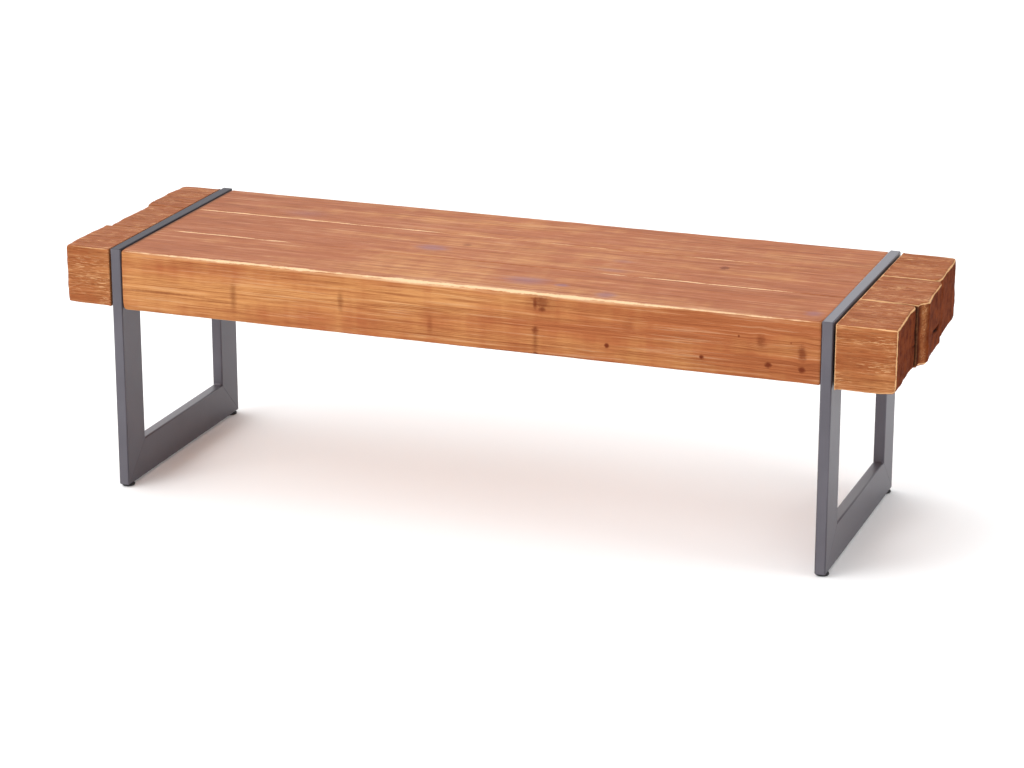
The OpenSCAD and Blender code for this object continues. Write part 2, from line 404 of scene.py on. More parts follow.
def stained_softwood(name, pith, ring_width, gold, red, dark, pale, knots=(), marks=(),
                     brushed=0.0, shine=0.3, relief_depth=0.001):
    """Stained softwood. pith is the middle of the tree's rings, in the bench's own frame.
    knots and marks (ink stains) are spots as (centre, size, softness, strength)."""
    material = bpy.data.materials.new(name)
    material.use_nodes = True
    tree = material.node_tree
    shader = tree.nodes["Principled BSDF"]
    place = tree.nodes.new("ShaderNodeTexCoord").outputs["Object"]
    ragged = lumps(tree, place, (150.0, 150.0, 150.0), 3.0, 0.6)
    bent = place
    spots = []
    for centre, size, softness, strength in knots:
        spot = placed(tree, blemish, Vector=place, Centre=centre, Size=size, Softness=softness, Ragged=ragged)
        if strength > 0.5 and min(size[0], size[2]) > bending_knot:
            bend = placed(tree, blemish, Vector=bent, Centre=centre, Size=size)
            bent = bend.outputs["Vector"]
        spots.append((spot, strength))
    own_stretch = (7.0 * pith[1] + 3.0 * pith[2], 0.0, 0.0)
    rings = placed(tree, growth_rings, Vector=bent, Pith=pith, Shift=own_stretch, Ring_Width=ring_width)
    tone = sum_of(tree, "MULTIPLY_ADD", rings.outputs["Tone"], 3.2, -1.30)
    figure = sum_of(tree, "MULTIPLY_ADD", rings.outputs["Figure"], 1.6, -0.78)
    on_top = painted_mark(tree, "on_top")
    # This mark makes the wood redder and darker where it is set.
    extra_darkening = painted_mark(tree, "extra_darkening")
    redness = sum_of(tree, "MULTIPLY_ADD", on_top, 0.42, sum_of(tree, "ADD", tone, figure))
    redness = sum_of(tree, "ADD", redness, extra_darkening, clamp=True)
    colour = blend_colours(tree, redness, gold, red)
    late_band = painted_mark(tree, "late_band")
    band = sum_of(tree, "MAXIMUM", sum_of(tree, "MULTIPLY", rings.outputs["Band"], 0.7), late_band)
    line_depth = sum_of(tree, "MULTIPLY_ADD", band, 0.75, 0.15)
    lines = sum_of(tree, "MULTIPLY", rings.outputs["Late Wood"], line_depth)
    lines = sum_of(tree, "MULTIPLY", lines, sum_of(tree, "MULTIPLY_ADD", on_top, -0.55, 1.0))
    streak = sum_of(tree, "MULTIPLY_ADD", rings.outputs["Streak"], 4.2, -1.95, clamp=True)
    fibre = sum_of(tree, "MULTIPLY_ADD", rings.outputs["Fibre"], 1.8, -0.86)
    depth = sum_of(tree, "ADD", lines, fibre)
    depth = sum_of(tree, "ADD", depth, sum_of(tree, "MULTIPLY", streak, 0.50), clamp=True)
    depth = sum_of(tree, "MULTIPLY_ADD", extra_darkening, 0.35, depth)
    depth = sum_of(tree, "MULTIPLY_ADD", on_top, 0.10, depth, clamp=True)
    colour = blend_colours(tree, depth, colour, dark)
    bright = ease_between(tree, rings.outputs["Streak"], 0.47, 0.35)
    colour = blend_colours(tree, sum_of(tree, "MULTIPLY", bright, 0.20), colour, pale)
    for spot, strength in spots:
        core = sum_of(tree, "MULTIPLY", spot.outputs["Mask"], strength)
        colour = blend_colours(tree, core, colour, knot_core)
    for centre, size, softness, strength in marks:
        mark = placed(tree, blemish, Vector=place, Centre=centre, Size=size, Softness=softness,
                      Ragged=sum_of(tree, "MULTIPLY_ADD", rings.outputs["Streak"], 2.2, -0.6))
        share = sum_of(tree, "MULTIPLY", mark.outputs["Mask"], strength)
        colour = blend_colours(tree, share, colour, ink_blue)
    raised_rings = sum_of(tree, "MULTIPLY", rings.outputs["Late Wood"], 0.5)
    relief = sum_of(tree, "ADD", rings.outputs["Fibre"], raised_rings)
    if brushed:
        ridge = lumps(tree, place, (48.0, 400.0, 680.0), 4.0, 0.62)
        patches = lumps(tree, place, (14.0, 40.0, 40.0), 2.0)
        cover = ease_between(tree, patches, 0.36, 0.66)
        most = sum_of(tree, "MULTIPLY_ADD", on_top, -0.12, brushed)
        ridge_mask = sum_of(tree, "MULTIPLY", ease_between(tree, ridge, 0.54, 0.61), most)
        groove_mask = sum_of(tree, "MULTIPLY", ease_between(tree, ridge, 0.47, 0.36), 0.34)
        colour = blend_colours(tree, groove_mask, colour, brushed_groove)
        colour = blend_colours(tree, sum_of(tree, "MULTIPLY", ridge_mask, cover), colour, pale)
        relief = sum_of(tree, "ADD", relief, sum_of(tree, "MULTIPLY", ridge, 1.5))
    end_grain = painted_mark(tree, "end_grain")
    pores = lumps(tree, place, (60.0, 60.0, 45.0), 4.0, 0.65)
    soaked = blend_colours(tree, ease_between(tree, pores, 0.35, 0.68), end_stain, end_stain_pores)
    ring_share = sum_of(tree, "MULTIPLY", rings.outputs["Late Wood"], 0.35)
    soaked = blend_colours(tree, ring_share, soaked, end_stain_rings)
    colour = blend_colours(tree, end_grain, colour, soaked)
    rubbed = painted_mark(tree, "rubbed")
    rubbed_share = sum_of(tree, "MULTIPLY", rubbed,
                          ease_between(tree, rings.outputs["Streak"], 0.62, 0.40))
    colour = blend_colours(tree, rubbed_share, colour, pale)
    worn = placed(tree, worn_edge, Vector=place)
    colour = blend_colours(tree, worn.outputs["Mask"], colour, pale)
    # Painted shade: this mark blends the wood towards near-black in grooves, splits and gaps.
    painted_shade = painted_mark(tree, "painted_shade")
    colour = blend_colours(tree, painted_shade, colour, painted_seam_shade)
    wire(tree, colour, shader.inputs["Base Color"])
    gloss = sum_of(tree, "MULTIPLY_ADD", rings.outputs["Fibre"], 0.25, 0.42)
    rough_end = sum_of(tree, "MULTIPLY", end_grain, 0.3)
    wire(tree, sum_of(tree, "ADD", gloss, rough_end, clamp=True), shader.inputs["Roughness"])
    shader.inputs["Specular IOR Level"].default_value = shine
    bump = tree.nodes.new("ShaderNodeBump")
    bump.inputs["Strength"].default_value = 0.6
    bump.inputs["Distance"].default_value = relief_depth
    wire(tree, relief, bump.inputs["Height"])
    wire(tree, bump.outputs["Normal"], shader.inputs["Normal"])
    return material


stain_gold = (0.525, 0.232, 0.080, 1.0)
stain_red = (0.385, 0.121, 0.043, 1.0)
stain_dark = (0.225, 0.062, 0.020, 1.0)
bare_wood = (0.76, 0.51, 0.30, 1.0)
seam_gap = 0.00015
timber_seed = {"front_beam": 11, "centre_beam": 23, "rear_beam": 37}


knot_depth = 0.03
stain_depth = 0.02


def spots_on(timber, face, rows):
    """Spots for the stain, from rows of shares along the timber and up its front or back across its top."""
    low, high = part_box(timber)
    spots = []
    for along, aside, wide, tall, softness, strength in rows:
        x = low[0] + along * (high[0] - low[0])
        if face == "front":
            centre = (x, low[1], low[2] + aside * (high[2] - low[2]))
            size = (wide, knot_depth, tall)
        else:
            centre = (x, low[1] + aside * (high[1] - low[1]), high[2])
            size = (wide, tall, stain_depth)
        spots.append((centre, size, softness, strength))
    return spots


# Each spot: share along, share up or across, half width, half height, softness, strength.
front_knots = [
    (0.62, 0.86, 0.0105, 0.0085, 0.6, 0.52), (0.61, 0.83, 0.0035, 0.0080, 0.6, 0.80),
    (0.62, 0.74, 0.0055, 0.0035, 0.6, 0.75), (0.61, 0.90, 0.0080, 0.0025, 0.7, 0.45),
    (0.62, 0.84, 0.0240, 0.0150, 0.9, 0.32), (0.61, 0.40, 0.0050, 0.0060, 0.7, 0.75),
    (0.61, 0.20, 0.0040, 0.0180, 0.9, 0.50), (0.61, 0.01, 0.0060, 0.0035, 0.6, 0.85),
    (0.17, 0.42, 0.0050, 0.0220, 0.9, 0.46), (0.33, 0.53, 0.0045, 0.0160, 0.9, 0.48),
    (0.46, 0.30, 0.0040, 0.0130, 0.9, 0.36), (0.71, 0.27, 0.0040, 0.0040, 0.5, 1.00),
    (0.84, 0.25, 0.0040, 0.0035, 0.5, 1.00), (0.89, 0.65, 0.0020, 0.0020, 0.5, 0.80),
    (0.92, 0.60, 0.0070, 0.0100, 0.8, 0.54), (0.93, 0.24, 0.0055, 0.0050, 0.5, 1.00),
    (0.975, 0.47, 0.0065, 0.0125, 0.7, 0.74), (0.975, 0.22, 0.0055, 0.0050, 0.5, 1.00),
    (0.96, 0.62, 0.0015, 0.0015, 0.5, 0.70), (0.74, 0.63, 0.0090, 0.0090, 0.9, 0.25),
    (0.055, 0.36, 0.0800, 0.0018, 0.6, 0.50), (0.15, 0.31, 0.0300, 0.0016, 0.7, 0.35),
]
top_knots = {
    "centre_beam": [(0.81, 0.68, 0.0080, 0.0090, 0.45, 0.75), (0.44, 0.60, 0.0070, 0.0060, 0.6, 0.55)],
}
ink_marks = {
    "front_beam": [
        (0.58, 0.45, 0.034, 0.019, 0.8, 0.62), (0.63, 0.40, 0.013, 0.008, 0.6, 0.80),
        (0.70, 0.20, 0.017, 0.014, 0.7, 0.68), (0.98, 0.30, 0.013, 0.013, 0.8, 0.60),
    ],
    "centre_beam": [
        (0.40, 0.35, 0.024, 0.015, 0.8, 0.68), (0.67, 0.15, 0.025, 0.008, 0.8, 0.40),
        (0.67, 0.55, 0.015, 0.008, 0.8, 0.35),
    ],
    "rear_beam": [(0.16, 0.27, 0.030, 0.020, 0.9, 0.25)],
}
piths = {"front_beam": (0.0, -0.10, 0.20), "centre_beam": (0.0, 0.09, 0.22), "rear_beam": (0.0, 0.22, 0.26)}
# Wear of the arrises at chosen shares along the timber, and the width worn there in metres.
front_wear_at = [0.0, 0.08, 0.16, 0.28, 0.32, 0.40, 0.56, 0.63, 0.79, 0.88, 0.95, 1.0]
front_wear = [0.0004, 0.0014, 0.0022, 0.0022, 0.0004, 0.0034, 0.0036, 0.0026, 0.0022, 0.0014, 0.0004, 0.0002]
front_rub = [0.05, 0.20, 0.35, 0.25, 0.15, 0.80, 0.80, 0.40, 0.30, 0.45, 0.15, 0.05]
front_seam_at = [0.0, 0.04, 0.18, 0.23, 0.63, 0.68, 0.90, 0.95]
front_seam_wear = [0.0006, 0.0032, 0.0030, 0.0004, 0.0004, 0.0034, 0.0032, 0.0006]
rear_seam_at = [0.0, 0.03, 0.39, 0.51, 0.82, 0.98]
rear_seam_wear = [0.0024, 0.0034, 0.0030, 0.0018, 0.0020, 0.0006]

for timber in ("front_beam", "centre_beam", "rear_beam"):
    low, high = [list(corner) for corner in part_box(timber)]
    seed = timber_seed[timber]
    outer_front = timber == "front_beam"
    outer_rear = timber == "rear_beam"
    if not outer_front:
        low[1] += seam_gap
    if not outer_rear:
        high[1] -= seam_gap
    flat, quads = timber_skin(low, high, (0.004, 0.004, 0.004), 0.011, 5)
    along = (flat[:, 0] - low[0]) / (high[0] - low[0])
    wave = 0.5 + 0.35 * wander(flat, (0.09, 1.0, 1.0), seed)
    wave = wave + 0.25 * wander(flat, (0.025, 1.0, 1.0), seed + 1)
    outer = np.zeros(len(flat))
    if outer_front:
        outer = np.maximum(outer, near(flat[:, 1], low[1], 0.03))
    if outer_rear:
        outer = np.maximum(outer, near(flat[:, 1], high[1], 0.03))
    upper = near(flat[:, 2], high[2], 0.03)
    at_left = near(flat[:, 0], low[0], 0.02)
    at_ends = np.maximum(at_left, near(flat[:, 0], high[0], 0.02))
    radius = 0.0010 + 0.0005 * wave + outer * (0.0018 + (0.0032 * upper + 0.0010) * wave)
    radius = np.maximum(radius, at_ends * (0.0015 + 0.0020 * outer))
    radius = np.maximum(radius, at_left * outer * near(flat[:, 2], low[2], 0.03) * 0.0068)
    points, out = eased(flat, low, high, radius)
    warp = 0.5 + 0.5 * wander(flat, (0.30, 0.07, 0.07), seed + 2)
    ripple = 0.5 + 0.5 * wander(flat, (0.06, 0.010, 0.010), seed + 3)
    calm = 1.0 - 0.85 * at_ends
    points = points - out * ((0.0005 * warp + 0.0003 * ripple) * calm)[:, None]
    along_wear = np.interp(along, front_wear_at, front_wear)
    front_seam = np.interp(along, front_seam_at, front_seam_wear)
    rear_seam = np.interp(along, rear_seam_at, rear_seam_wear)
    seam_wear = np.where(flat[:, 1] < 0.0, front_seam, rear_seam)
    seam_wear = seam_wear * np.clip(0.7 + 0.8 * wander(flat, (0.035, 1.0, 1.0), seed + 4), 0.0, 1.2)
    side_wear = 0.0022 * wave + upper * along_wear * (0.7 + 0.6 * wave) * (1.0 if outer_front else 0.15)
    wear = seam_wear * (1.0 - outer) + outer * side_wear
    wear = wear * (1.0 - 0.5 * at_ends)
    gaps = np.minimum(flat - np.array(low), np.array(high) - flat)
    face_gap = flat[:, 1] - low[1] if outer_front else high[1] - flat[:, 1]
    on_top = np.clip(out[:, 2], 0.0, 1.0) * (flat[:, 2] > high[2] - 0.012)
    on_top = on_top * (1.0 - 0.35 * np.clip(flat[:, 0] / 0.6, 0.0, 1.0))
    # Darker towards the right end of each timber, and across the top towards the left end.
    extra_darkening = 0.55 * np.clip(flat[:, 0] / 0.66, 0.0, 1.0)
    extra_darkening = extra_darkening + 0.70 * on_top * np.clip(-flat[:, 0] / 0.60 - 0.2, 0.0, 1.0)
    rubbed = np.zeros(len(flat))
    late_band = np.zeros(len(flat))
    if outer_front:
        gaps[:, 1] = gaps[:, 1] * (1.0 - 0.55 * near(face_gap, 0.0, 0.10))
        along_rub = np.interp(along, front_wear_at, front_rub)
        rubbed = along_rub * np.clip(1.0 - face_gap / 0.030, 0.0, 1.0) ** 1.5
        rubbed = rubbed * (flat[:, 2] > high[2] - 0.006)
        middle_band = near(flat[:, 2], low[2] + 0.061, 0.016) * near(flat[:, 0], 0.0, 0.34)
        lower_band = near(flat[:, 2], low[2] + 0.009, 0.016) * near(flat[:, 0], 0.10, 0.80)
        # Darker towards the bottom of the front face.
        extra_darkening = extra_darkening + 0.40 * near(flat[:, 2], low[2], 0.032)
        late_band = np.maximum(middle_band, lower_band)
    on_end = (np.abs(out[:, 0]) > 0.7).astype(float)
    marks = {
        "edge_reach": np.sort(gaps, axis=1)[:, 1],
        "wear_width": wear,
        "end_grain": on_end,
        "on_top": on_top,
        "extra_darkening": extra_darkening,
        "rubbed": rubbed,
        "late_band": late_band,
        # Painted shade: the left ends of the beams are darkened near the top, away from the front face, in
        # the gap beside the left top bar.
        "painted_shade": 0.85 * near(flat[:, 0], low[0], 0.008) * upper * (1.0 - outer),
    }
    knots = spots_on(timber, "front", front_knots) if outer_front else []
    knots += spots_on(timber, "top", top_knots.get(timber, []))
    inked = spots_on(timber, "top", ink_marks.get(timber, []))
    wood = stained_softwood(
        timber + "_stain", piths[timber], 0.0038, stain_gold, stain_red, stain_dark, bare_wood,
        knots=knots, marks=inked, shine=0.08,
    )
    piece = skin_object(timber + "_timber", points, quads, marks, wood)
    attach(piece, "bench")
    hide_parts(timber)

# ---------------------------------------------------------------------------
# The six end blocks: offcuts of the same timber, hewn and wire-brushed so that
# the hard grain stands up. Each is glued on two studs and bears on their nuts,
# which leaves a dark gap beside the frame. Their outer ends are cut unevenly.

block_pith = {"front": (0.0, -0.17, 0.22), "centre": (0.0, 0.05, 0.28), "rear": (0.0, 0.12, 0.20)}
hewn_gold = (0.50, 0.205, 0.074, 1.0)
hewn_red = (0.38, 0.120, 0.042, 1.0)
hewn_pale = (0.74, 0.43, 0.21, 1.0)
# A split in the end face: where it starts and ends, as shares across and up, and its width.
splits = {
    "right_front_block": ((0.80, 0.41), (1.05, 0.39), 0.0016),
    "right_centre_block": ((0.46, 0.38), (0.80, 0.35), 0.0046),
    "left_rear_block": ((0.15, 0.55), (0.55, 0.48), 0.0022),
}
# How unevenly each end is cut: shares from the block's front to its back, and the depth lost there.
end_cuts = {
    "right_front_block": ([0.0, 0.40, 0.75, 0.90, 1.0], [0.0005, 0.003, 0.006, 0.005, 0.008]),
    "right_centre_block": ([0.0, 0.08, 0.17, 0.45, 0.90, 1.0], [0.013, 0.012, 0.0, 0.004, 0.006, 0.010]),
    "right_rear_block": ([0.0, 0.05, 0.15, 0.45, 0.80, 1.0], [0.009, 0.003, 0.0, 0.003, 0.0035, 0.007]),
    "left_front_block": ([0.0, 0.30, 1.0], [0.002, 0.0, 0.004]),
    "left_centre_block": ([0.0, 0.85, 1.0], [0.0, 0.003, 0.001]),
    "left_rear_block": ([0.0, 0.15, 0.70, 1.0], [0.003, 0.0, 0.001, 0.005]),
}
rear_seam_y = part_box("rear_beam")[0][1]
block_order = [f"{side}_{row}_block" for side in ("left", "right") for row in ("front", "centre", "rear")]


def split_depth(points, start, finish, width):
    """How deep a drying split is at each point of an end face: a thin wedge between two places."""
    length = np.linalg.norm(finish - start)
    along = (finish - start) / length
    arm = points[:, 1:] - start
    share = (arm @ along) / length
    aside = np.abs(arm @ np.array((-along[1], along[0])))
    inside = np.clip(1.0 - aside / (width * (0.35 + share)), 0.0, 1.0)
    return inside * ((share > 0.0) & (share < 1.0))


for block in block_order:
    low, high = [list(corner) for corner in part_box(block)]
    side, row = block.split("_")[:2]
    seed = 50 + 7 * block_order.index(block)
    low[1] += seam_gap
    high[1] -= seam_gap
    flat, quads = timber_skin(low, high, (0.004, 0.0016, 0.0016), 0.014)
    outward = 1.0 if side == "right" else -1.0
    outer_end = high[0] if side == "right" else low[0]
    frame_end = low[0] if side == "right" else high[0]
    toward_end = near(flat[:, 0], outer_end, 0.05)
    wave = 0.5 + 0.3 * wander(flat, (0.03, 0.03, 0.03), seed)
    wave = wave + 0.2 * wander(flat, (0.011, 0.011, 0.011), seed + 1)
    at_seam = np.zeros(len(flat))
    if row != "front":
        at_seam = np.maximum(at_seam, near(flat[:, 1], low[1], 0.012))
    if row != "rear":
        at_seam = np.maximum(at_seam, near(flat[:, 1], high[1], 0.012))
    radius = 0.0024 + 0.0026 * wave + 0.0035 * toward_end * (0.5 + 0.5 * wave)
    radius = radius * (1.0 - 0.5 * at_seam * (1.0 - toward_end))
    radius = radius * (1.0 - 0.55 * near(flat[:, 0], frame_end, 0.02))
    low_corner = near(flat[:, 2], low[2], 0.03) * toward_end
    radius = np.maximum(radius, low_corner * (1.0 - at_seam) * (0.0128 if side == "right" else 0.0070))
    radius = np.clip(radius, 0.0012, 0.0138)
    points, out = eased(flat, low, high, radius)
    hewn = 0.5 + 0.5 * wander(flat, (0.05, 0.03, 0.03), seed + 2)
    ridges = 0.5 + 0.5 * wander(flat, (0.045, 0.0045, 0.0045), seed + 3)
    lump = 0.5 + 0.5 * wander(flat, (0.03, 0.022, 0.022), seed + 4)
    chips = 0.5 + 0.5 * wander(flat, (0.02, 0.006, 0.006), seed + 5)
    on_end = np.clip((np.abs(out[:, 0]) - 0.5) * 4.0, 0.0, 1.0)
    outside = (np.abs(flat[:, 0] - frame_end) > 0.004).astype(float)
    cut = 0.0010 * hewn + 0.0007 * ridges * (1.0 - on_end) + on_end * (0.0016 * lump + 0.0010 * chips)
    crack = np.zeros(len(flat))
    if block in splits:
        start, finish, width = splits[block]
        face = np.array(high[1:]) - np.array(low[1:])
        start, finish = np.array(low[1:]) + start * face, np.array(low[1:]) + finish * face
        crack = on_end * outside * split_depth(flat, start, finish, width)
    points = points - out * ((cut + 0.009 * crack) * outside)[:, None]
    cut_at, cut_back = end_cuts[block]
    recess = np.interp((flat[:, 1] - low[1]) / (high[1] - low[1]), cut_at, cut_back)
    points[:, 0] -= outward * recess * toward_end
    wear = 0.0012 + 0.0022 * wave
    end_share = on_end * outside
    if side == "left":
        wear = wear * (1.0 - 0.9 * np.maximum(toward_end, at_seam))
        wear = wear * (1.0 - 0.9 * near(flat[:, 0], frame_end, 0.012))
    # Painted shade: the masks below darken the rounded edges along the seams, the walls inside the seams, the
    # seams on the end faces and the end splits.
    seam_edge_shade = np.clip(np.abs(out[:, 1]) * 3.0 - 1.8, 0.0, 1.0) * (at_seam > 0.5) * (1.0 - on_end)
    at_rear_seam = near(flat[:, 1], rear_seam_y, 0.012)
    seam_edge_shade = 0.6 * seam_edge_shade * (0.3 + 0.7 * toward_end * (1.0 + 0.6 * at_rear_seam))
    seam_wall_shade = np.clip(np.abs(out[:, 1]) * 12.0 - 11.0, 0.0, 1.0) * (at_seam > 0.5)
    if side == "right":
        below_top = np.clip((high[2] - flat[:, 2]) / 0.006 - 0.5, 0.0, 1.0)
        wear = wear * (1.0 + 0.5 * np.maximum(at_seam, toward_end)) * (1.0 - 0.85 * at_seam * below_top)
    if block == "right_centre_block":
        end_share = end_share * (1.0 - 0.7 * near(flat[:, 1], low[1] + 0.018, 0.008))
    groove_shade = at_seam * end_share
    if block == "right_front_block":
        groove_shade = np.maximum(groove_shade, near(flat[:, 1], high[1], 0.007) * on_end)
    marks = {
        "edge_reach": edge_reach(flat, low, high),
        "wear_width": wear,
        "end_grain": end_share,
        "on_top": np.clip(out[:, 2], 0.0, 1.0),
        "rubbed": np.zeros(len(flat)),
        "late_band": np.zeros(len(flat)),
        # Darker on every block, a little more on the left ones, and more again on faces that point up.
        "extra_darkening": (0.22 if side == "right" else 0.3) + 0.35 * np.clip(out[:, 2], 0.0, 1.0),
        # Painted shade, from the seam masks above and the split.
        "painted_shade": np.clip(0.75 * groove_shade + seam_edge_shade + 0.45 * seam_wall_shade + crack * 4.0, 0.0, 1.0),
    }
    wood = stained_softwood(
        block + "_stain", block_pith[row], 0.0052, hewn_gold, hewn_red, stain_dark, hewn_pale,
        brushed=0.90 if side == "right" else 0.70, shine=0.04, relief_depth=0.003,
    )
    piece = skin_object(block + "_timber", points, quads, marks, wood)
    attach(piece, "bench")
    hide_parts(block)

# ---------------------------------------------------------------------------
# The two frames: rectangular steel tube cut to mitres, welded, ground flush outside
# and powder-coated grey, with a small bead left in each inner corner. The left top
# bar's coat is painted darker than the rest as painted shade, and the right one's
# is painted paler as a painted highlight.


def build_powder_coat():
    """Group: the fine orange peel and slight cloudiness of a powder coat."""
    tree, given, result = new_group("powder_coat", {}, {"Vector": (0, 0, 0)}, ["Peel", "Cloud", "Speck"])
    place = given.outputs["Vector"]
    wire(tree, lumps(tree, place, (700.0, 700.0, 700.0), 2.0), result.inputs["Peel"])
    wire(tree, lumps(tree, place, (9.0, 9.0, 9.0), 3.0), result.inputs["Cloud"])
    wire(tree, lumps(tree, place, (1600.0, 1600.0, 1600.0), 1.0), result.inputs["Speck"])
    return tree


powder_coat = build_powder_coat()


def coated_steel(name, light, dark, roughness):
    """Satin powder coat in two close tones."""
    material = bpy.data.materials.new(name)
    material.use_nodes = True
    tree = material.node_tree
    shader = tree.nodes["Principled BSDF"]
    place = tree.nodes.new("ShaderNodeTexCoord").outputs["Object"]
    coat = placed(tree, powder_coat, Vector=place)
    cloud = ease_between(tree, coat.outputs["Cloud"], 0.3, 0.7)
    speck = sum_of(tree, "MULTIPLY_ADD", coat.outputs["Speck"], 0.3, -0.15)
    wire(tree, blend_colours(tree, sum_of(tree, "ADD", cloud, speck, clamp=True), dark, light),
         shader.inputs["Base Color"])
    uneven = sum_of(tree, "MULTIPLY_ADD", coat.outputs["Cloud"], 0.16, roughness)
    wire(tree, uneven, shader.inputs["Roughness"])
    shader.inputs["Metallic"].default_value = 0.25
    bump = tree.nodes.new("ShaderNodeBump")
    bump.inputs["Strength"].default_value = 0.25
    bump.inputs["Distance"].default_value = 0.0002
    wire(tree, coat.outputs["Peel"], bump.inputs["Height"])
    wire(tree, bump.outputs["Normal"], shader.inputs["Normal"])
    return material


frame_coat = coated_steel("frame_coat", (0.104, 0.096, 0.113, 1.0), (0.084, 0.077, 0.092, 1.0), 0.36)
# Painted light: copies of the coat for the top bars, the left one darker as painted shade and the right one
# paler as a painted highlight.
shaded_and_lit_top_coats = {
    "left": coated_steel("left_top_coat_painted_shade", (0.050, 0.046, 0.057, 1.0), (0.040, 0.036, 0.046, 1.0), 0.62),
    "right": coated_steel("right_top_coat_painted_highlight", (0.116, 0.113, 0.134, 1.0), (0.094, 0.091, 0.111, 1.0), 0.34),
}
corner_radius = 0.0025
corner_turns = 5
mitre_nick = 0.0005


def tube_outline(width, depth):
    """Rounded rectangle round the tube's section, as (sideways, inward) pairs. The outer wall is at 0."""
    outline = []
    corners = ((1, 1, 0), (-1, 1, 90), (-1, -1, 180), (1, -1, 270))
    for sx, sy, start in corners:
        middle = (sx * (width / 2 - corner_radius), depth / 2 + sy * (depth / 2 - corner_radius))
        for turn in range(corner_turns + 1):
            angle = math.radians(start + 90 * turn / corner_turns)
            outline.append((middle[0] + corner_radius * math.cos(angle),
                            middle[1] + corner_radius * math.sin(angle)))
    return outline


def mitred_bar(name, start, finish, inward, width, depth, coat):
    """Tube from one outer corner of the frame to the next, cut at 45 degrees towards inward at both ends.
    The ends' arrises are nicked, so that the joint shows as a hairline."""
    start, finish, inward = Vector(start), Vector(finish), Vector(inward)
    along = (finish - start).normalized()
    sideways = along.cross(inward)
    length = (finish - start).length
    outline = tube_outline(width, depth)
    rings = []
    for shrink, back in ((mitre_nick, 0.0), (0.0, mitre_nick), (0.0, -mitre_nick), (mitre_nick, 0.0)):
        ring = []
        for aside, deep in outline:
            flat = deep
            if shrink:
                aside = aside * (1.0 - 2 * shrink / width)
                flat = depth / 2 + (deep - depth / 2) * (1.0 - 2 * shrink / depth)
            at_start = len(rings) < 2
            reach = flat + back if at_start else length - flat + back
            ring.append(start + along * reach + sideways * aside + inward * flat)
        rings.append(ring)
    count = len(outline)
    points = [point for ring in rings for point in ring]
    faces = [
        (r * count + i, r * count + (i + 1) % count, (r + 1) * count + (i + 1) % count, (r + 1) * count + i)
        for r in range(3) for i in range(count)
    ]
    faces.append(tuple(range(count))[::-1])
    faces.append(tuple(3 * count + i for i in range(count)))
    mesh = bpy.data.meshes.new(name)
    mesh.from_pydata(points, [], faces)
    mesh.materials.append(coat)
    for face in mesh.polygons:
        on_round = face.index % (corner_turns + 1) != corner_turns
        face.use_smooth = on_round and count <= face.index < 2 * count
    mesh.update()
    piece = bpy.data.objects.new(name, mesh)
    bpy.context.scene.collection.objects.link(piece)
    return piece


def weld_bead(name, corner, first, second, width):
    """Rippled fillet in an inner corner, across the tube. first and second lead away along the two bars."""
    leg = 0.0035
    steps = 26
    arc = 6
    corner, first, second = Vector(corner), Vector(first), Vector(second)
    across = Vector((1.0, 0.0, 0.0))
    points, faces = [], []
    for i in range(steps + 1):
        share = i / steps
        ripple = 1.0 + 0.10 * math.sin(share * math.pi * 14)
        taper = min(1.0, 6.0 * min(share, 1.0 - share) + 0.35)
        size = leg * ripple * taper
        middle = corner + across * ((share - 0.5) * (width - 0.004))
        points.append(middle - (first + second) * 0.0006)
        for k in range(arc + 1):
            angle = math.pi / 2 * k / arc
            reach_a = size * (1.0 - 0.72 * math.sin(angle))
            reach_b = size * (1.0 - 0.72 * math.cos(angle))
            points.append(middle + first * reach_a * math.cos(angle) + second * reach_b * math.sin(angle))
    row = arc + 2
    for i in range(steps):
        for k in range(row):
            a, b = i * row + k, i * row + (k + 1) % row
            faces.append((a, b, b + row, a + row))
    faces.append(tuple(range(row))[::-1])
    faces.append(tuple(steps * row + k for k in range(row)))
    mesh = bpy.data.meshes.new(name)
    mesh.from_pydata(points, [], faces)
    mesh.materials.append(frame_coat)
    for face in mesh.polygons:
        face.use_smooth = len(face.vertices) == 4
    mesh.update()
    piece = bpy.data.objects.new(name, mesh)
    bpy.context.scene.collection.objects.link(piece)
    return piece


for side in ("left", "right"):
    foot_low, foot_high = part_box(side + "_floor_bar")
    tube_thick = foot_high[0] - foot_low[0]
    tube_deep = foot_high[2] - foot_low[2]
    middle_x = (foot_low[0] + foot_high[0]) / 2
    front_y, rear_y = foot_low[1], foot_high[1]
    bottom_z, top_z = foot_low[2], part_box(side + "_top_bar")[1][2]
    corners = [(middle_x, front_y, bottom_z), (middle_x, rear_y, bottom_z),
               (middle_x, rear_y, top_z), (middle_x, front_y, top_z)]
    inwards = [(0, 0, 1), (0, -1, 0), (0, 0, -1), (0, 1, 0)]
    names = ["floor_bar", "rear_leg", "top_bar", "front_leg"]
    for i, (bar, inward) in enumerate(zip(names, inwards)):
        # The top bars take the copies of the coat with painted shade and painted highlight.
        coat = shaded_and_lit_top_coats[side] if bar == "top_bar" else frame_coat
        piece = mitred_bar(
            f"{side}_{bar}_tube", corners[i], corners[(i + 1) % 4], inward, tube_thick, tube_deep, coat,
        )
        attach(piece, "bench")
        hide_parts(f"{side}_{bar}")
    for i, corner in enumerate(corners):
        first, second = Vector(inwards[i]), Vector(inwards[i - 1])
        inner_corner = Vector(corner) + (first + second) * tube_deep
        bead = weld_bead(f"{side}_weld_{i + 1}", inner_corner, first, second, tube_thick)
        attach(bead, "bench")

# ---------------------------------------------------------------------------
# The fixings inside: zinc-plated studs, washers, nuts and inserts, and beech
# dowels across the seams. All keep their plain CAD shapes.


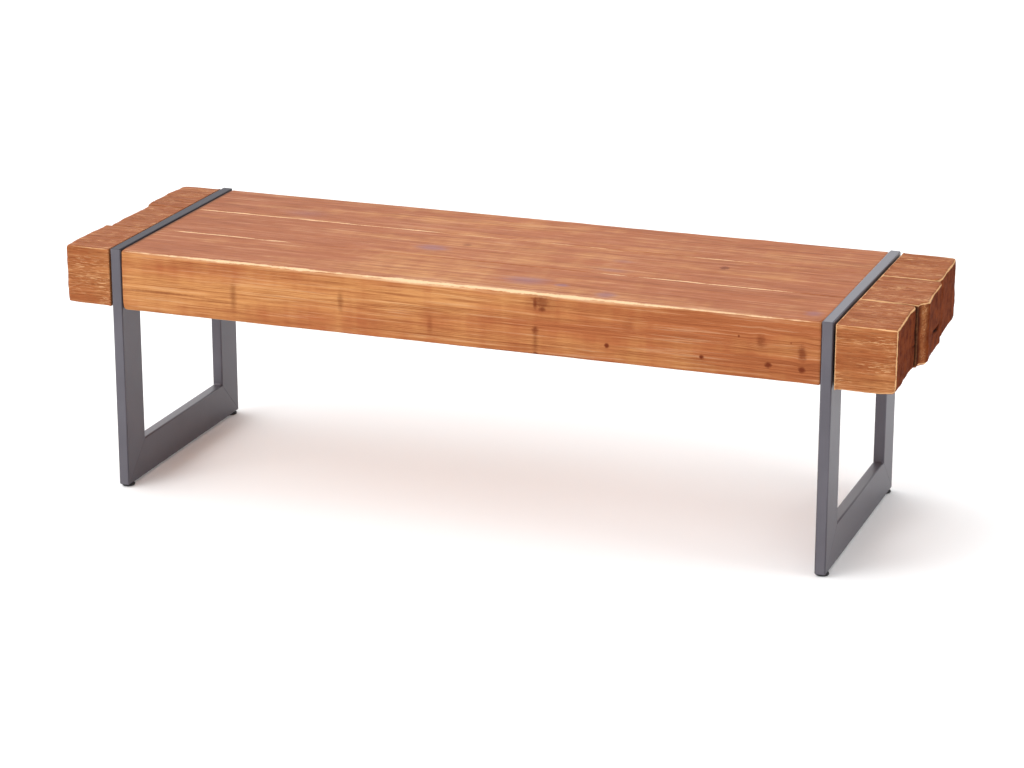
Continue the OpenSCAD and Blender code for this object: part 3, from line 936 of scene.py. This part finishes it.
def plated_steel(name):
    """Bright zinc plating with a slightly mottled passivation."""
    material = bpy.data.materials.new(name)
    material.use_nodes = True
    tree = material.node_tree
    shader = tree.nodes["Principled BSDF"]
    place = tree.nodes.new("ShaderNodeTexCoord").outputs["Object"]
    mottle = lumps(tree, place, (260.0, 260.0, 260.0), 3.0)
    wire(tree, blend_colours(tree, mottle, (0.60, 0.62, 0.64, 1.0), (0.74, 0.72, 0.66, 1.0)),
         shader.inputs["Base Color"])
    wire(tree, sum_of(tree, "MULTIPLY_ADD", mottle, 0.25, 0.25), shader.inputs["Roughness"])
    shader.inputs["Metallic"].default_value = 1.0
    return material


def raw_beech(name):
    """Pale beech with its short dark flecks."""
    material = bpy.data.materials.new(name)
    material.use_nodes = True
    tree = material.node_tree
    shader = tree.nodes["Principled BSDF"]
    place = tree.nodes.new("ShaderNodeTexCoord").outputs["Object"]
    fleck = lumps(tree, place, (900.0, 90.0, 900.0), 3.0)
    wire(tree, blend_colours(tree, ease_between(tree, fleck, 0.35, 0.7), (0.72, 0.50, 0.30, 1.0),
                             (0.50, 0.30, 0.16, 1.0)), shader.inputs["Base Color"])
    wire(tree, sum_of(tree, "MULTIPLY_ADD", fleck, 0.2, 0.5), shader.inputs["Roughness"])
    return material


def repaint(node, material):
    """Gives a carried-over CAD node its real finish."""
    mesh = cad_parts[node].data
    mesh.materials.clear()
    mesh.materials.append(material)


zinc = plated_steel("zinc_plate")
beech = raw_beech("raw_beech")
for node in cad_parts:
    if node.endswith(("_studs", "_washers", "_nuts", "_inserts", "_stud")):
        repaint(node, zinc)
    if node.endswith("_dowels"):
        repaint(node, beech)

# ---------------------------------------------------------------------------
# The four glides: a black moulded pad on a screw, which turns out of the insert
# to level the bench.


def moulded_black(name):
    """Matt black plastic, a little scuffed."""
    material = bpy.data.materials.new(name)
    material.use_nodes = True
    tree = material.node_tree
    shader = tree.nodes["Principled BSDF"]
    place = tree.nodes.new("ShaderNodeTexCoord").outputs["Object"]
    scuff = lumps(tree, place, (500.0, 500.0, 200.0), 4.0, 0.7)
    wire(tree, blend_colours(tree, ease_between(tree, scuff, 0.5, 0.75), (0.012, 0.012, 0.013, 1.0),
                             (0.05, 0.05, 0.052, 1.0)), shader.inputs["Base Color"])
    wire(tree, sum_of(tree, "MULTIPLY_ADD", scuff, 0.3, 0.45), shader.inputs["Roughness"])
    return material


pad_black = moulded_black("pad_black")
pad_turns = 48
for corner in ("left_front", "left_rear", "right_front", "right_rear"):
    low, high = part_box(corner + "_glide_pad")
    middle = ((low[0] + high[0]) / 2, (low[1] + high[1]) / 2)
    wide = (high[0] - low[0]) / 2
    tall = high[2] - low[2]
    outline = [(0.0, 0.0), (wide * 0.80, 0.0), (wide * 0.92, tall * 0.08), (wide * 0.98, tall * 0.22),
               (wide, tall * 0.42), (wide, tall * 0.78), (wide * 0.97, tall * 0.94), (wide * 0.90, tall),
               (wide * 0.45, tall), (0.0, tall)]
    points = [(middle[0], middle[1], low[2]), (middle[0], middle[1], high[2])]
    for reach, lift in outline[1:-1]:
        for turn in range(pad_turns):
            angle = 2 * math.pi * turn / pad_turns
            aside, ahead = reach * math.cos(angle), reach * math.sin(angle)
            points.append((middle[0] + aside, middle[1] + ahead, low[2] + lift))
    faces = []
    for ring in range(len(outline) - 3):
        for turn in range(pad_turns):
            a, b = 2 + ring * pad_turns + turn, 2 + ring * pad_turns + (turn + 1) % pad_turns
            faces.append((a, b, b + pad_turns, a + pad_turns))
    last = 2 + (len(outline) - 3) * pad_turns
    for turn in range(pad_turns):
        after = (turn + 1) % pad_turns
        faces.append((0, 2 + after, 2 + turn))
        faces.append((1, last + turn, last + after))
    mesh = bpy.data.meshes.new(corner + "_glide_moulding")
    mesh.from_pydata(points, [], faces)
    mesh.materials.append(pad_black)
    for face in mesh.polygons:
        face.use_smooth = True
    mesh.update()
    piece = bpy.data.objects.new(corner + "_glide_moulding", mesh)
    bpy.context.scene.collection.objects.link(piece)
    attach(piece, corner + "_glide")
    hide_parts(corner + "_glide_pad")
